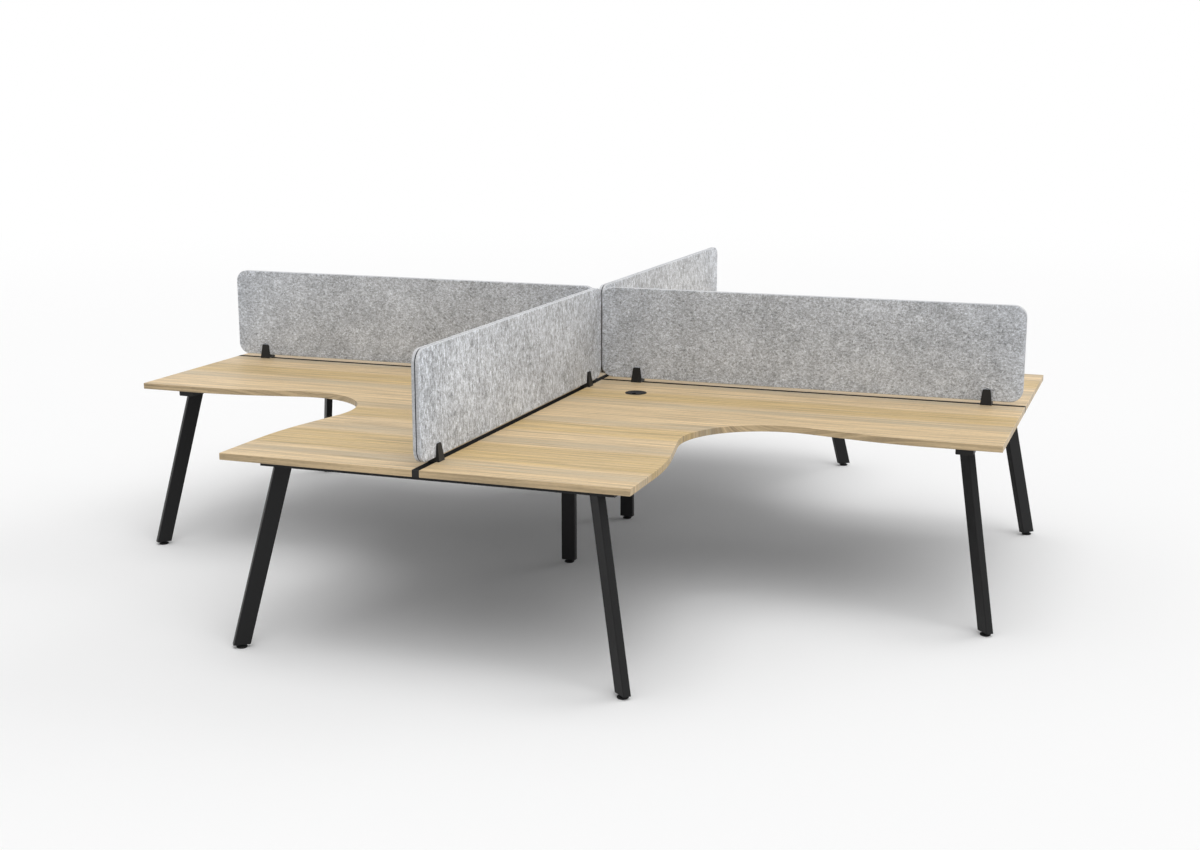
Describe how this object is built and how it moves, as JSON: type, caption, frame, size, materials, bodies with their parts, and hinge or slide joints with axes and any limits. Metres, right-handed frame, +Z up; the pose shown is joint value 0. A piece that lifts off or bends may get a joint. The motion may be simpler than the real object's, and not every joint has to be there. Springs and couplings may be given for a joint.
{
  "type": "four-person corner workstation",
  "caption": "Cross-shaped cluster of L-shaped oak-look corner worktops with felt screens between them, cable grommets and a black steel underframe on splayed legs.",
  "frame": {"origin": "on the floor under the middle of the cluster", "axes": "+X to the right along the grain of the worktops, +Y to the back, +Z up"},
  "size_m": [3.627, 3.627, 1.131],
  "materials": {
    "oak_laminate": "satin oak-look laminate, grain along X",
    "grey_felt": "mottled pressed felt",
    "black_powder_coat": "fine-textured matt powder coat",
    "black_filler": "dead-matt black",
    "black_plastic": "moulded, fine grain",
    "grommet_plastic": "moulded, satin",
    "foot_plastic": "moulded, matt",
    "zinc_steel": "bright zinc plate"
  },
  "bodies": {
    "desk": {"worktop_back_right": "oak_laminate", "grommet_ring_back_right": "grommet_plastic", "worktop_back_left": "oak_laminate", "grommet_ring_back_left": "grommet_plastic", "worktop_front_left": "oak_laminate", "grommet_ring_front_left": "grommet_plastic", "worktop_front_right": "oak_laminate", "grommet_ring_front_right": "grommet_plastic", "filler_rail_right": "black_filler", "end_rail_right": "black_powder_coat", "screen_right_felt_back": "grey_felt", "leg_right_back": "black_powder_coat", "screen_right_felt_front": "grey_felt", "leg_right_front": "black_powder_coat", "beam_right": "black_powder_coat", "filler_rail_back": "black_filler", "end_rail_back": "black_powder_coat", "screen_back_felt_left": "grey_felt", "leg_back_left": "black_powder_coat", "screen_back_felt_right": "grey_felt", "leg_back_right": "black_powder_coat", "post_back": "black_powder_coat", "filler_rail_left": "black_filler", "end_rail_left": "black_powder_coat", "screen_left_felt_front": "grey_felt", "leg_left_front": "black_powder_coat", "screen_left_felt_back": "grey_felt", "leg_left_back": "black_powder_coat", "beam_left": "black_powder_coat", "filler_rail_front": "black_filler", "end_rail_front": "black_powder_coat", "screen_front_felt_right": "grey_felt", "leg_front_right": "black_powder_coat", "screen_front_felt_left": "grey_felt", "leg_front_left": "black_powder_coat", "post_front": "black_powder_coat", "beam_lengthwise": "black_powder_coat", "filler_rail_caps": "black_plastic", "screen_cores": "black_plastic", "screen_clips": "black_plastic", "end_rail_plugs": "black_plastic", "leg_inserts": "black_plastic", "frame_bolts": "zinc_steel", "worktop_screws": "zinc_steel"},
    "cap_back_right": {"grommet_cap_back_right": "grommet_plastic"},
    "cap_back_left": {"grommet_cap_back_left": "grommet_plastic"},
    "cap_front_left": {"grommet_cap_front_left": "grommet_plastic"},
    "cap_front_right": {"grommet_cap_front_right": "grommet_plastic"},
    "foot_right_back": {"foot_right_back": "foot_plastic"},
    "foot_right_front": {"foot_right_front": "foot_plastic"},
    "foot_back_left": {"foot_back_left": "foot_plastic"},
    "foot_back_right": {"foot_back_right": "foot_plastic"},
    "foot_post_back": {"foot_post_back": "foot_plastic"},
    "foot_left_front": {"foot_left_front": "foot_plastic"},
    "foot_left_back": {"foot_left_back": "foot_plastic"},
    "foot_front_right": {"foot_front_right": "foot_plastic"},
    "foot_front_left": {"foot_front_left": "foot_plastic"},
    "foot_post_front": {"foot_post_front": "foot_plastic"}
  },
  "joints": [
    {"name": "cap_back_right_turn", "type": "hinge", "parent": "desk", "child": "cap_back_right", "pos_m": [0.2535, 0.2535, 0.725], "axis": [0, 0, 1], "continuous": true},
    {"name": "cap_back_left_turn", "type": "hinge", "parent": "desk", "child": "cap_back_left", "pos_m": [-0.2535, 0.2535, 0.725], "axis": [0, 0, 1], "continuous": true},
    {"name": "cap_front_left_turn", "type": "hinge", "parent": "desk", "child": "cap_front_left", "pos_m": [-0.2535, -0.2535, 0.725], "axis": [0, 0, 1], "continuous": true},
    {"name": "cap_front_right_turn", "type": "hinge", "parent": "desk", "child": "cap_front_right", "pos_m": [0.2535, -0.2535, 0.725], "axis": [0, 0, 1], "continuous": true},
    {"name": "foot_right_back_turn", "type": "hinge", "parent": "desk", "child": "foot_right_back", "pos_m": [1.7805, 0.729, 0], "axis": [0, 0, 1], "continuous": true},
    {"name": "foot_right_front_turn", "type": "hinge", "parent": "desk", "child": "foot_right_front", "pos_m": [1.7805, -0.729, 0], "axis": [0, 0, 1], "continuous": true},
    {"name": "foot_back_left_turn", "type": "hinge", "parent": "desk", "child": "foot_back_left", "pos_m": [-0.729, 1.7805, 0], "axis": [0, 0, 1], "continuous": true},
    {"name": "foot_back_right_turn", "type": "hinge", "parent": "desk", "child": "foot_back_right", "pos_m": [0.729, 1.7805, 0], "axis": [0, 0, 1], "continuous": true},
    {"name": "foot_post_back_turn", "type": "hinge", "parent": "desk", "child": "foot_post_back", "pos_m": [0, 0.377, 0], "axis": [0, 0, 1], "continuous": true},
    {"name": "foot_left_front_turn", "type": "hinge", "parent": "desk", "child": "foot_left_front", "pos_m": [-1.7805, -0.729, 0], "axis": [0, 0, 1], "continuous": true},
    {"name": "foot_left_back_turn", "type": "hinge", "parent": "desk", "child": "foot_left_back", "pos_m": [-1.7805, 0.729, 0], "axis": [0, 0, 1], "continuous": true},
    {"name": "foot_front_right_turn", "type": "hinge", "parent": "desk", "child": "foot_front_right", "pos_m": [0.729, -1.7805, 0], "axis": [0, 0, 1], "continuous": true},
    {"name": "foot_front_left_turn", "type": "hinge", "parent": "desk", "child": "foot_front_left", "pos_m": [-0.729, -1.7805, 0], "axis": [0, 0, 1], "continuous": true},
    {"name": "foot_post_front_turn", "type": "hinge", "parent": "desk", "child": "foot_post_front", "pos_m": [0, -0.377, 0], "axis": [0, 0, 1], "continuous": true}
  ]
}
